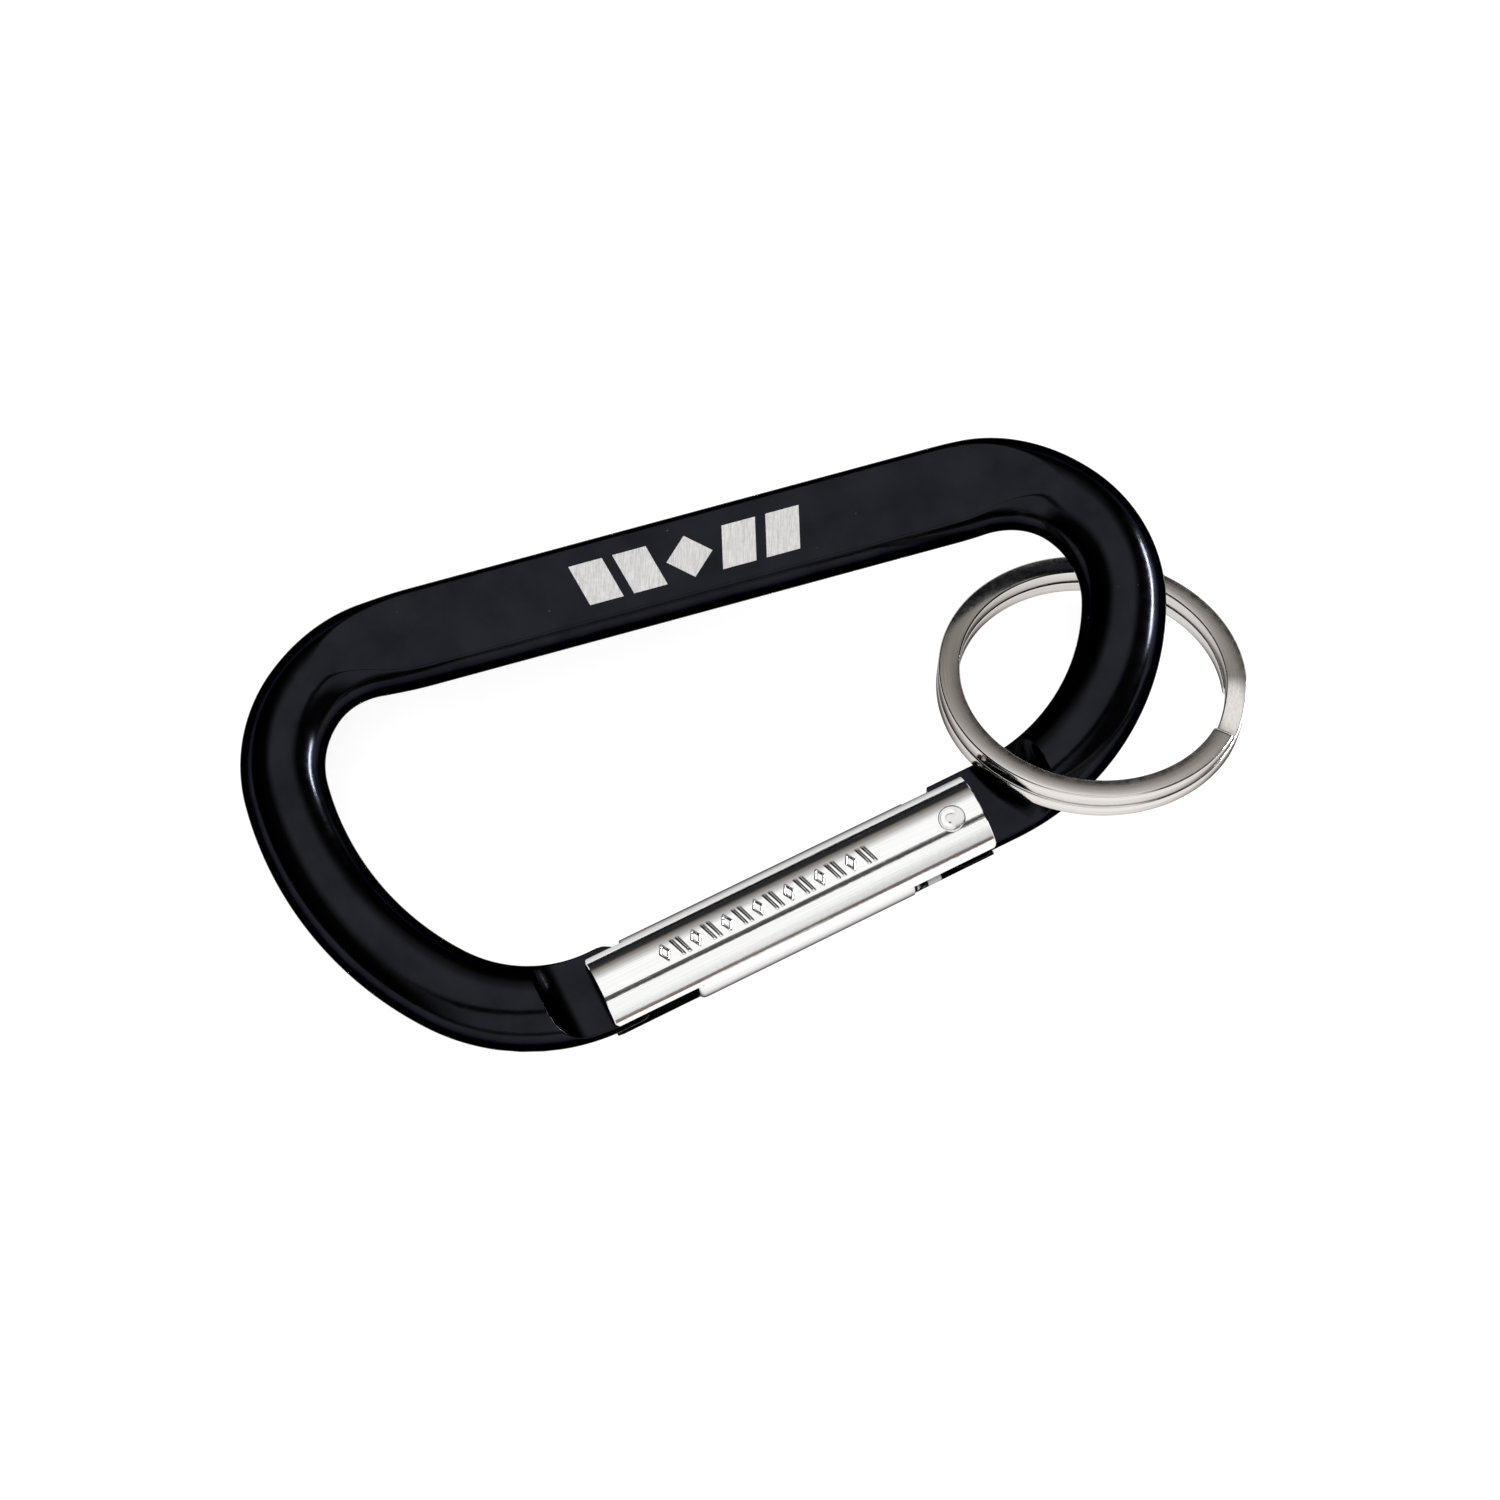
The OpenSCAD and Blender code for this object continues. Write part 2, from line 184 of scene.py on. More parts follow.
# ---------------------------------------------------------------- material helpers
class Shader:
    """Node material with short calls for the textures used here, in the object's own coordinates."""

    def __init__(self, name):
        self.material = bpy.data.materials.new(name)
        self.material.use_nodes = True
        self.nodes = self.material.node_tree.nodes
        self.links = self.material.node_tree.links
        self.bsdf = self.nodes["Principled BSDF"]
        self.coords = self.nodes.new("ShaderNodeTexCoord").outputs["Object"]

    def set(self, **values):
        for key, value in values.items():
            self.bsdf.inputs[key.replace("_", " ")].default_value = value

    def link(self, source, key):
        self.links.new(source, self.bsdf.inputs[key])

    def mapping(self, scale=(1, 1, 1), rotation=(0, 0, 0), location=(0, 0, 0)):
        node = self.nodes.new("ShaderNodeMapping")
        node.vector_type = "TEXTURE"
        node.inputs["Scale"].default_value = scale
        node.inputs["Rotation"].default_value = rotation
        node.inputs["Location"].default_value = location
        self.links.new(self.coords, node.inputs["Vector"])
        return node.outputs["Vector"]

    def noise(self, scale, vector=None, detail=3.0):
        node = self.nodes.new("ShaderNodeTexNoise")
        node.inputs["Scale"].default_value = scale
        node.inputs["Detail"].default_value = detail
        node.inputs["Roughness"].default_value = 0.55
        self.links.new(vector or self.coords, node.inputs["Vector"])
        return node.outputs["Fac"]

    def specks(self, scale, size):
        """Sparse dots of a given size in metres: 1 inside a dot, 0 outside."""
        node = self.nodes.new("ShaderNodeTexVoronoi")
        node.inputs["Scale"].default_value = scale
        self.links.new(self.coords, node.inputs["Vector"])
        return self.remap(node.outputs["Distance"], size * scale, size * scale * 0.5, 0.0, 1.0)

    def remap(self, source, low, high, out_low, out_high):
        node = self.nodes.new("ShaderNodeMapRange")
        keys = ("From Min", "From Max", "To Min", "To Max")
        for key, value in zip(keys, (low, high, out_low, out_high)):
            node.inputs[key].default_value = value
        self.links.new(source, node.inputs["Value"])
        return node.outputs["Result"]

    def math(self, operation, a, b):
        node = self.nodes.new("ShaderNodeMath")
        node.operation = operation
        for socket, value in zip(node.inputs, (a, b)):
            if isinstance(value, (int, float)):
                socket.default_value = value
            else:
                self.links.new(value, socket)
        return node.outputs["Value"]

    def mix(self, factor, a, b):
        node = self.nodes.new("ShaderNodeMix")
        node.data_type = "RGBA"
        self.links.new(factor, node.inputs[0])
        for socket, value in zip((node.inputs[6], node.inputs[7]), (a, b)):
            if isinstance(value, tuple):
                socket.default_value = (*value, 1)
            else:
                self.links.new(value, socket)
        return node.outputs[2]

    def bump(self, height, distance, strength=1.0, normal=None):
        node = self.nodes.new("ShaderNodeBump")
        node.inputs["Distance"].default_value = distance
        node.inputs["Strength"].default_value = strength
        self.links.new(height, node.inputs["Height"])
        if normal is not None:
            self.links.new(normal, node.inputs["Normal"])
        self.links.new(node.outputs["Normal"], self.bsdf.inputs["Normal"])
        return node.outputs["Normal"]


def black_anodised():
    s = Shader("black_anodised")
    s.set(Metallic=1.0, Specular_Tint=(0.12, 0.12, 0.13, 1))
    cloud = s.noise(260, detail=4)
    base = s.mix(s.remap(cloud, 0.35, 0.65, 0, 1), (0.0115, 0.0122, 0.0155), (0.0165, 0.0172, 0.0215))
    dust = s.specks(420, 0.00007)
    s.link(s.mix(dust, base, (0.12, 0.11, 0.1)), "Base Color")
    s.link(s.remap(s.noise(900, detail=5), 0.3, 0.7, 0.11, 0.19), "Roughness")
    drawn = s.noise(1.0, s.mapping((0.02, 0.0003, 0.0003)), detail=4)
    first = s.bump(drawn, 0.000006, 0.5)
    s.bump(s.noise(5200, detail=2), 0.000004, 0.5, first)
    return s.material


def bare_aluminium():
    s = Shader("bare_aluminium")
    s.set(Metallic=1.0)
    brushed = s.mapping((0.00006, 0.0011, 0.0011), rotation=(0, 0, math.radians(-18)))
    grain = s.noise(1.0, brushed)
    s.link(s.mix(s.remap(grain, 0.3, 0.7, 0, 1), (0.62, 0.61, 0.605), (0.9, 0.895, 0.89)), "Base Color")
    s.link(s.remap(s.noise(3000), 0.3, 0.7, 0.42, 0.6), "Roughness")
    s.bump(grain, 0.00001, 0.8)
    return s.material


def nickel_gate():
    s = Shader("nickel_gate")
    s.set(Metallic=1.0, Specular_Tint=(0.06, 0.05, 0.05, 1))
    along = s.mapping((0.009, 0.00012, 0.00012), rotation=(0, 0, math.radians(SLOPE)))
    drawn = s.noise(1.0, along, detail=4)
    s.link(s.mix(s.remap(drawn, 0.3, 0.7, 0, 1), (0.8, 0.795, 0.79), (0.87, 0.865, 0.86)), "Base Color")
    s.link(s.remap(s.noise(1500, detail=4), 0.3, 0.7, 0.05, 0.1), "Roughness")
    first = s.bump(drawn, 0.000007, 0.5)
    s.bump(s.noise(2300, detail=2), 0.000009, 0.4, first)
    return s.material


# Painted shade: a dark grey metal on the sleeve's inner walls, standing in for the shade inside the tube
def sleeve_inside_painted_shade():
    s = Shader("sleeve_inside_painted_shade")
    s.set(Metallic=1.0, Specular_Tint=(0.2, 0.2, 0.2, 1))
    grain = s.noise(1800, detail=4)
    s.link(s.mix(grain, (0.05, 0.047, 0.045), (0.12, 0.115, 0.11)), "Base Color")
    s.link(s.remap(grain, 0.3, 0.7, 0.4, 0.6), "Roughness")
    s.bump(grain, 0.00001, 0.5)
    return s.material


def nickel_rivet():
    s = Shader("nickel_rivet")
    s.set(Metallic=1.0)
    grain = s.noise(4200, detail=4)
    s.link(s.mix(grain, (0.62, 0.61, 0.6), (0.84, 0.83, 0.82)), "Base Color")
    s.link(s.remap(grain, 0.3, 0.7, 0.14, 0.3), "Roughness")
    s.bump(grain, 0.00001, 0.6)
    return s.material


def turned_noise(s, scale):
    """Fine lines that run round the ring, drawn in its own plane: X and Y in it, Z across it."""
    split = s.nodes.new("ShaderNodeSeparateXYZ")
    in_ring = s.mapping(location=ring_centre * MM, rotation=Matrix(ring_axes.tolist()).to_euler())
    s.links.new(in_ring, split.inputs[0])
    x, y, z = split.outputs
    radius = s.math("SQRT", s.math("ADD", s.math("MULTIPLY", x, x), s.math("MULTIPLY", y, y)), 0)
    angle = s.math("ARCTAN2", y, x)
    vector = s.nodes.new("ShaderNodeCombineXYZ")
    s.links.new(s.math("MULTIPLY", radius, scale), vector.inputs[0])
    s.links.new(s.math("MULTIPLY", z, scale), vector.inputs[1])
    s.links.new(angle, vector.inputs[2])
    return s.noise(1.0, vector.outputs[0])


def nickel_ring(name, rough):
    s = Shader(name)
    s.set(Metallic=1.0, Specular_Tint=(0.1, 0.09, 0.085, 1))
    lines = turned_noise(s, 9000)
    s.link(s.mix(s.remap(lines, 0.3, 0.7, 0, 1), (0.6, 0.57, 0.54), (0.72, 0.69, 0.66)), "Base Color")
    s.link(s.remap(s.noise(1800), 0.3, 0.7, rough * 0.75, rough * 1.3), "Roughness")
    s.bump(lines, 0.000002, 0.6)
    return s.material


def spring_steel(name, tint):
    s = Shader(name)
    s.set(Metallic=1.0)
    grain = s.noise(2600, detail=4)
    s.link(s.mix(grain, (tint * 0.7, tint * 0.7, tint * 0.72), (tint, tint, tint * 1.02)), "Base Color")
    s.link(s.remap(grain, 0.3, 0.7, 0.22, 0.4), "Roughness")
    s.bump(grain, 0.000006, 0.5)
    return s.material


# ---------------------------------------------------------------- the frame's centreline
def arc_step(heading, radius, turn):
    """Travel over an arc that starts at a heading and turns by an angle, in degrees, left positive."""
    h, a = math.radians(heading), math.radians(turn)
    side = math.copysign(1, turn)
    return side * radius * np.array([math.sin(h + a) - math.sin(h), math.cos(h) - math.cos(h + a)])


class Route:
    """Centreline of the rod, clockwise round the D from the nose tongue's tip to the hinge tongue's end."""

    def __init__(self):
        left = np.array([spine_mid[0] - SPINE_LEN / 2, spine_mid[1]])
        right = np.array([spine_mid[0] + SPINE_LEN / 2, spine_mid[1]])
        p, h = left, 180.0
        for radius, turn in NOSE_BENDS:
            p = p + arc_step(h, radius, turn)
            h += turn
        across = unit(SLOPE + 90)
        sweep_turn = 180 - SLOPE - HINGE_BEND[1]
        corner = right + arc_step(0, HINGE_BEND[0], -HINGE_BEND[1])
        sweep_r = ((p - corner) @ across) / (arc_step(-HINGE_BEND[1], 1.0, -sweep_turn) @ across)
        nose_run = (p - pivot) @ gate_dir - NOSE_TIP
        foot = corner + arc_step(-HINGE_BEND[1], sweep_r, -sweep_turn)
        hinge_run = HINGE_TIP - (foot - pivot) @ gate_dir
        pieces = [(nose_run, 0.0)]
        pieces += [(r * math.radians(a), -1 / r) for r, a in NOSE_BENDS[::-1]]
        self.spine_from = sum(q[0] for q in pieces)
        pieces += [(SPINE_LEN, 0.0), (HINGE_BEND[0] * math.radians(HINGE_BEND[1]), -1 / HINGE_BEND[0])]
        self.spine_to = self.spine_from + SPINE_LEN
        pieces += [(sweep_r * math.radians(sweep_turn), -1 / sweep_r), (hinge_run, 0.0)]
        self.length = sum(q[0] for q in pieces)
        start, heading, u = p + nose_run * unit(SLOPE), math.radians(180 + SLOPE), 0.0
        self.rows = []
        for length, bend in pieces:
            self.rows.append((u, *start, heading, bend))
            if bend:
                turn = bend * length
                start = start + np.array([math.sin(heading + turn) - math.sin(heading),
                                          math.cos(heading) - math.cos(heading + turn)]) / bend
                heading += turn
            else:
                start = start + length * np.array([math.cos(heading), math.sin(heading)])
            u += length
        self.rows = np.array(self.rows)

    def at(self, u, offset=0.0):
        """Points at travel u, moved by offset to the outside of the D."""
        u = np.asarray(u, float)
        piece = np.searchsorted(self.rows[:, 0], u, side="right") - 1
        row = self.rows[np.clip(piece, 0, len(self.rows) - 1)]
        s, h, k = u - row[..., 0], row[..., 3], row[..., 4]
        turn = k * s
        safe = np.where(k == 0, 1.0, k)
        x = np.where(k == 0, s * np.cos(h), (np.sin(h + turn) - np.sin(h)) / safe)
        y = np.where(k == 0, s * np.sin(h), (np.cos(h) - np.cos(h + turn)) / safe)
        head = h + turn
        x = row[..., 1] + x - offset * np.sin(head)
        y = row[..., 2] + y + offset * np.cos(head)
        return np.stack([x, y], -1)

    def travel_at(self, along, offset, low, high):
        """Travel at which a point with each offset lies at a distance along the gate from the pivot."""
        low, high = np.full(offset.shape, float(low)), np.full(offset.shape, float(high))
        for _ in range(40):
            mid = (low + high) / 2
            short = (self.at(mid, offset) - pivot) @ gate_dir < along
            low, high = np.where(short, mid, low), np.where(short, high, mid)
        return (low + high) / 2


FLAT_STEPS = 10
EDGE_STEPS = 4
SIDE_STEPS = 30
NO_LIMIT = 9.0


def section(radius, half, low=-NO_LIMIT, high=NO_LIMIT):
    """Cross-section of the rod as (offset, z) pairs: a circle cut to |z| <= half and to the limits
    low and high across it, with eased edges."""
    half = min(half, radius - 0.0004)
    reach = math.sqrt(radius ** 2 - half ** 2)
    left, right = max(-reach, low), min(reach, high)
    ease = min(EDGE, 0.45 * (right - left), 0.45 * half)
    top = [(x, half) for x in np.linspace(left + ease, right - ease, FLAT_STEPS + 1)]
    edge_z = half - ease

    def side(sign, limit):
        """One side of the section, from the upper flat's edge down to the lower one's."""
        def wall(z):
            return min(math.sqrt(max(radius ** 2 - z ** 2, 0)), limit)
        corner = (min(reach, limit), half)
        start, end = (corner[0] - ease, half), (wall(edge_z), edge_z)
        edge = []
        for t in np.linspace(0, 1, EDGE_STEPS + 1)[1:]:
            a, b, c = (1 - t) ** 2, 2 * t * (1 - t), t * t
            edge.append(tuple(a * p + b * q + c * r for p, q, r in zip(start, corner, end)))
        tilt = math.asin(edge_z / radius)
        walls = [(wall(radius * math.sin(f)), radius * math.sin(f))
                 for f in np.linspace(tilt, -tilt, SIDE_STEPS + 1)[1:-1]]
        lower = [(x, -z) for x, z in edge[::-1]]
        return [(sign * x, z) for x, z in edge + walls + lower]

    right_side = side(1, high)
    left_side = side(-1, -low)
    bottom = [(x, -z) for x, z in top[::-1]]
    return np.array(top + right_side + bottom + [(x, z) for x, z in left_side[::-1]])


PRESS_BLEND = 11.0
PRESS_PAST_NOSE, PRESS_PAST_HINGE = 7.0, 9.0


def press_at(route, u):
    """How far the spine's press has spread the rod at travel u, from 0 to 1."""
    rise = smooth((u - (route.spine_from - PRESS_PAST_NOSE)) / PRESS_BLEND)
    fall = smooth((route.spine_to + PRESS_PAST_HINGE - u) / PRESS_BLEND)
    return float(min(rise, fall))


def nose_limits(along):
    """Limits across the nose tongue near its rounded tip, measured from the rod's centreline."""
    stop_r, heel_r, side = 3.2, 1.8, ROD_R
    d = along - NOSE_TIP
    low, high = -NO_LIMIT, NO_LIMIT
    if d < stop_r:
        low = -side + stop_r - math.sqrt(stop_r ** 2 - (stop_r - d) ** 2)
    if d < heel_r:
        high = side - heel_r + math.sqrt(heel_r ** 2 - (heel_r - d) ** 2)
    return low, high


def hinge_limits(along):
    """Limits across the hinge tongue's end: a shoulder, the cam lobe and a rounded heel."""
    cam_x, cam_y, cam_r = 0.2, -1.2, 2.0
    heel_x, heel_r = -1.0, 3.15
    shoulder_r = 0.4
    spans = []
    if abs(along - cam_x) < cam_r:
        half = math.sqrt(cam_r ** 2 - (along - cam_x) ** 2)
        spans.append((cam_y - half, cam_y + half))
    past_heel = max(along - heel_x, 0)
    if past_heel < heel_r:
        half = math.sqrt(heel_r ** 2 - past_heel ** 2)
        spans.append((-half, half))
    low = min(span[0] for span in spans) + TONGUE_SHIFT
    high = max(span[1] for span in spans) + TONGUE_SHIFT
    if along <= 0:
        low = -NO_LIMIT
    elif along < shoulder_r:
        low = -ROD_R + shoulder_r - math.sqrt(shoulder_r ** 2 - along ** 2)
    if along < heel_x:
        high = NO_LIMIT
    return low, high


def frame_rings(route):
    """Rings of the whole bent rod. In the milled zones each ring lies across the gate's line, so the
    cutter's edges follow rows of the mesh."""
    nose_reach, hinge_reach = (0, 16), (route.length - 16, route.length + 1)
    no_limits = (-NO_LIMIT, NO_LIMIT)

    def flat_ring(along, half, limits, reach):
        outline = section(ROD_R, half, *limits)
        return route.travel_at(along, outline[:, 0], *reach), outline

    def place(u, outline):
        return np.column_stack([route.at(u, outline[:, 0]), outline[:, 1]])

    cut_angles = np.radians(np.linspace(0, 79.4, 18))
    scoop = [(CUTTER_R * math.sin(a), TONGUE_HALF + CUTTER_R * (1 - math.cos(a))) for a in cut_angles]
    rings = []
    tip = [0.02, 0.08, 0.2, 0.36, 0.55, 0.8, 1.1, 1.45, 1.8, 2.1, 2.5, 2.9, 3.2]
    nose = [(NOSE_TIP + d, TONGUE_HALF) for d in tip]
    nose += [(a, TONGUE_HALF) for a in np.linspace(NOSE_TIP + 3.5, NOSE_FLAT_END - 0.15, 7)]
    nose += [(NOSE_FLAT_END + d, h) for d, h in scoop]
    for along, half in nose:
        u, outline = flat_ring(along, half, nose_limits(along), nose_reach)
        rings.append(place(u, outline))
    full = section(ROD_R, ROD_R)
    first = u.max() + 1.2
    for f in (0.04, 0.3, 0.65):
        rings.append(place(u + (first - u) * f, full))
    hinge = [(HINGE_FLAT_END - d, h) for d, h in scoop[::-1]]
    hinge += [(a, TONGUE_HALF) for a in np.linspace(HINGE_FLAT_END + 0.15, -1.2, 8)]
    end = [-0.8, -0.4, -0.1, 0.03, 0.15, 0.25, 0.33, 0.38, 0.3999, 0.43]
    end += [0.7, 1.0, 1.3, 1.6, 1.8, 1.95, 2.05, 2.12, 2.17]
    hinge += [(a, TONGUE_HALF) for a in end]
    u_hinge, _ = flat_ring(hinge[0][0], ROD_R, no_limits, hinge_reach)
    last = u_hinge.min() - 1.2
    ring_spacing = 0.42
    count = int((last - first) / ring_spacing)
    for u0 in np.linspace(first, last, count):
        w = press_at(route, u0)
        radius = ROD_R + (SPINE_R - ROD_R) * w
        half = ROD_R + (SPINE_HALF - ROD_R) * w
        outline = section(radius, half)
        rings.append(place(np.full(len(outline), u0), outline))
    for f in (0.35, 0.7, 0.96):
        rings.append(place(last + (u_hinge - last) * f, full))
    for along, half in hinge:
        u, outline = flat_ring(along, half, hinge_limits(along), hinge_reach)
        rings.append(place(u, outline))
    return rings


def mark_shapes():
    """A generic row on the spine: a diamond between two pairs of slanted bars."""
    height, lean, bar = 3.7, 0.9, 2.9
    shapes = []
    for sign in (-1, 1):
        for centre in (4.3, 8.1):
            x = sign * centre
            low, high = -height / 2, height / 2
            tip = sign * lean / 2
            shapes.append([(x - bar / 2 - tip, low), (x + bar / 2 - tip, low),
                           (x + bar / 2 + tip, high), (x - bar / 2 + tip, high)])
    shapes.append([(-2.0, 0), (0, -height / 2), (2.0, 0), (0, height / 2)])
    return shapes


def build_frame(materials):
    route = Route()
    verts, faces = skin(frame_rings(route))
    parts = [(verts, faces, 0)]
    mark_x, mark_rise = spine_mid[0] + 1.5, 0.012
    for shape in mark_shapes():
        points = [(mark_x + x, spine_mid[1] - 0.1 + y) for x, y in shape]
        v, f = prism(points, SPINE_HALF - 0.05, SPINE_HALF + mark_rise)
        parts.append((v, f, 1))
    verts, faces, index = join(parts)
    mesh_object("bent_rod_frame", verts, faces, materials, index, sharp=40,
                body="frame", replaces="frame")


# ---------------------------------------------------------------- the gate's sleeve
def in_gate(points):
    """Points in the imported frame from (along the gate to the nose, away from the spine, up)."""
    points = np.asarray(points, float)
    out = np.array([-gate_dir[1], gate_dir[0]])
    plane = pivot + points[..., :1] * gate_dir + points[..., 1:2] * out
    return np.concatenate([plane, points[..., 2:]], -1)


# from, to, centre angle from the top, half width: negative angles face away from the spine
SLOTS = [
    (SEAT_OUTER - 0.5, GATE_REACH + 1, -90, 1.9),
    (28.9, GATE_REACH + 1, 90, 1.9),
    (-GATE_TAIL - 1, 5.05, -90, 1.4),
    (-GATE_TAIL - 1, 2.8, 90, 1.4),
]
EMBOSS_FROM, EMBOSS_TO = 7.0, 27.2
EMBOSS_LOW, EMBOSS_HIGH = -0.45, 1.25
EMBOSS_GRID = 0.055
EMBOSS_RISE = 0.11


def sleeve_columns():
    stops = {-GATE_TAIL, GATE_REACH}
    for a, b, _, _ in SLOTS:
        stops |= {x for x in (a, b) if -GATE_TAIL < x < GATE_REACH}
    values = set(np.round(np.arange(EMBOSS_FROM - 0.4, EMBOSS_TO + 0.4, EMBOSS_GRID), 4))
    values |= set(np.round(np.linspace(-GATE_TAIL, EMBOSS_FROM, 40), 4))
    values |= set(np.round(np.linspace(EMBOSS_TO, GATE_REACH, 24), 4))
    for x in stops:
        near = [x + d for d in (-0.45, -0.3, -0.18, -0.07, 0, 0.07, 0.18, 0.3, 0.45)]
        kept = {v for v in values if min(abs(v - n) for n in near) > 0.04}
        values = kept | set(np.round(near, 4))
    return np.array(sorted(v for v in values if -GATE_TAIL - 1e-6 <= v <= GATE_REACH + 1e-6))


def sleeve_rows():
    """Angles round the sleeve from the top, in degrees, and where slot edges need exact rows."""
    band = np.degrees(np.arcsin(np.arange(EMBOSS_LOW - 0.3, EMBOSS_HIGH + 0.3, EMBOSS_GRID) / GATE_R))
    rows = set(np.round(band, 3))
    coarse = [a for a in np.arange(-180, 180, 4.0) if not band[0] - 2 < a < band[-1] + 2]
    rows |= set(np.round(coarse, 3))
    step = math.degrees(0.07 / GATE_R)
    for centre in (-90, 90):
        for half in (1.9, 1.4):
            reach = math.degrees(math.asin(half / GATE_R))
            for sign in (-1, 1):
                edge = centre + sign * reach
                near = [edge + sign * k * step for k in (-1, 0, 1, 2, 3, 4.5, 6.5)]
                kept = {v for v in rows if min(abs(v - n) for n in near) > step * 0.5}
                rows = kept | set(np.round(near, 3))
    return np.array(sorted(rows))


def inner_angle(outer):
    """Angle on the inner wall that faces an angle on the outer one across a slot's flat edge."""
    side = np.where(outer >= 0, 90.0, -90.0)
    off = outer - side
    inner_r = GATE_R - SHEET
    knots = [0] + [math.degrees(math.asin(h / GATE_R)) for h in (1.4, 1.9)] + [90]
    inside = [0] + [math.degrees(math.asin(h / inner_r)) for h in (1.4, 1.9)] + [90]
    return side + np.sign(off) * np.interp(np.abs(off), knots, inside)


def emboss(along, across):
    """Height of the pressed band: slanted ribs and small diamonds in turn."""
    pitch, rib = 1.42, 0.11
    count = int((EMBOSS_TO - EMBOSS_FROM) / pitch)
    mid = (EMBOSS_LOW + EMBOSS_HIGH) / 2
    half = (EMBOSS_HIGH - EMBOSS_LOW) / 2 - 0.1
    height = np.zeros_like(along)
    for k in range(count):
        x = along - (EMBOSS_FROM + (k + 0.5) * pitch)
        y = across - mid
        if k % 2:
            ring = np.abs(x) / 0.46 + np.abs(y) / half
            shape = np.exp(-(((ring - 0.85) * 0.38) / rib) ** 2 * 4)
        else:
            lean = x - 0.35 * y
            fade = smooth((half - np.abs(y)) / 0.12 + 0.5)
            pair = np.exp(-((lean - 0.27) / rib) ** 2) + np.exp(-((lean + 0.27) / rib) ** 2)
            shape = pair * fade
        height = np.maximum(height, shape)
    return EMBOSS_RISE * height


def sleeve():
    columns, rows = sleeve_columns(), sleeve_rows()
    m, n = len(columns), len(rows)
    mid_c = (columns[:-1] + columns[1:]) / 2
    upper = np.append(rows[1:], rows[0] + 360)
    mid_r = (rows + upper) / 2
    mid_r = np.where(mid_r > 180, mid_r - 360, mid_r)
    present = np.ones((m - 1, n), bool)
    for a, b, centre, half in SLOTS:
        reach = math.degrees(math.asin(half / GATE_R))
        hit = (mid_c[:, None] > a) & (mid_c[:, None] < b) & (np.abs(mid_r[None] - centre) < reach)
        present &= ~hit
    padded = np.zeros((m + 1, n), bool)
    padded[1:-1] = present
    around = padded & np.roll(padded, 1, 1)
    boundary = ~(around[1:] & around[:-1])
    s, angle = np.meshgrid(columns, rows, indexing="ij")
    taper = GATE_R + (GATE_R_HINGE - GATE_R) * np.clip(1 - s / GATE_REACH, 0, 1)
    # the cheeks' corners are rounded: their ends draw back near the slots' edges
    corner = 0.5
    draw = np.zeros_like(s)
    for a, b, centre, half in SLOTS:
        reach = math.degrees(math.asin(half / GATE_R))
        gap = np.radians(np.abs(angle - centre) - reach) * GATE_R
        gap = np.clip(gap, 0, corner)
        pull = corner - np.sqrt(corner ** 2 - (corner - gap) ** 2)
        if b > GATE_REACH:
            draw -= pull * np.clip((s - GATE_REACH + 1) / 1, 0, 1)
        else:
            draw += pull * np.clip((-GATE_TAIL + 1 - s) / 1, 0, 1)
    s = s + draw
    outer_r = taper - np.where(boundary, 0.07, 0)
    outer_r = outer_r + emboss(s, outer_r * np.sin(np.radians(angle))) * (np.abs(angle) < 60)
    inner_r = np.full_like(taper, GATE_R - SHEET) + np.where(boundary, 0.04, 0)
    ia = np.radians(inner_angle(angle))
    oa = np.radians(angle)
    outer = np.stack([s, -outer_r * np.sin(oa), outer_r * np.cos(oa)], -1)
    inner = np.stack([s, -inner_r * np.sin(ia), inner_r * np.cos(ia)], -1)
    verts = np.vstack([outer.reshape(-1, 3), inner.reshape(-1, 3)])
    base = m * n
    faces, index = [], []
    for i in range(m - 1):
        for j in range(n):
            if not present[i, j]:
                continue
            k = (j + 1) % n
            a, b, c, d = i * n + j, i * n + k, (i + 1) * n + k, (i + 1) * n + j
            faces.append([a, b, c, d])
            faces.append([base + d, base + c, base + b, base + a])
            # the outer wall takes the nickel, the inner wall the darker material of painted shade
            index += [0, 1]
            if i == 0 or not present[i - 1, j]:
                faces.append([a, base + a, base + b, b])
            if i == m - 2 or not present[i + 1, j]:
                faces.append([d, c, base + c, base + d])
            if not present[i, (j - 1) % n]:
                faces.append([a, d, base + d, base + a])
            if not present[i, k]:
                faces.append([b, base + b, base + c, c])
            index += [0] * (len(faces) - len(index))
    used = np.unique([q for f in faces for q in f])
    renumber = np.full(len(verts), -1)
    renumber[used] = np.arange(len(used))
    return verts[used], [[renumber[q] for q in f] for f in faces], index


def seat_tab():
    """The outer wall's end, bent in through the sleeve as the spring's seat."""
    bend, thick, end = 0.5, SHEET, SEAT_OUTER
    top = GATE_R - 0.03
    profile = [(24.0, top), (end - bend, top)]
    profile += [(end - bend + bend * math.sin(a), top - bend + bend * math.cos(a))
                for a in np.linspace(0, math.pi / 2, 7)[1:]]
    profile += [(end, -1.8), (end - thick, -1.8), (end - thick, GATE_R - SHEET), (24.0, GATE_R - SHEET)]
    rings = []
    for z in np.linspace(-1.86, 1.86, 15):
        drop = GATE_R - math.sqrt(GATE_R ** 2 - z ** 2)
        rings.append([(x, y - drop if y > GATE_R / 2 else y, z) for x, y in profile])
    return skin(rings)


def build_gate(materials):
    sleeve_verts, sleeve_faces, sleeve_index = sleeve()
    tab_verts, tab_faces = seat_tab()
    verts, faces, index = join([(in_gate(sleeve_verts), sleeve_faces, 0),
                                (in_gate(tab_verts), tab_faces, 0)])
    index[:len(sleeve_index)] = sleeve_index
    mesh_object("gate_sleeve", verts, faces, materials, index, sharp=38,
                body="gate", replaces="gate")


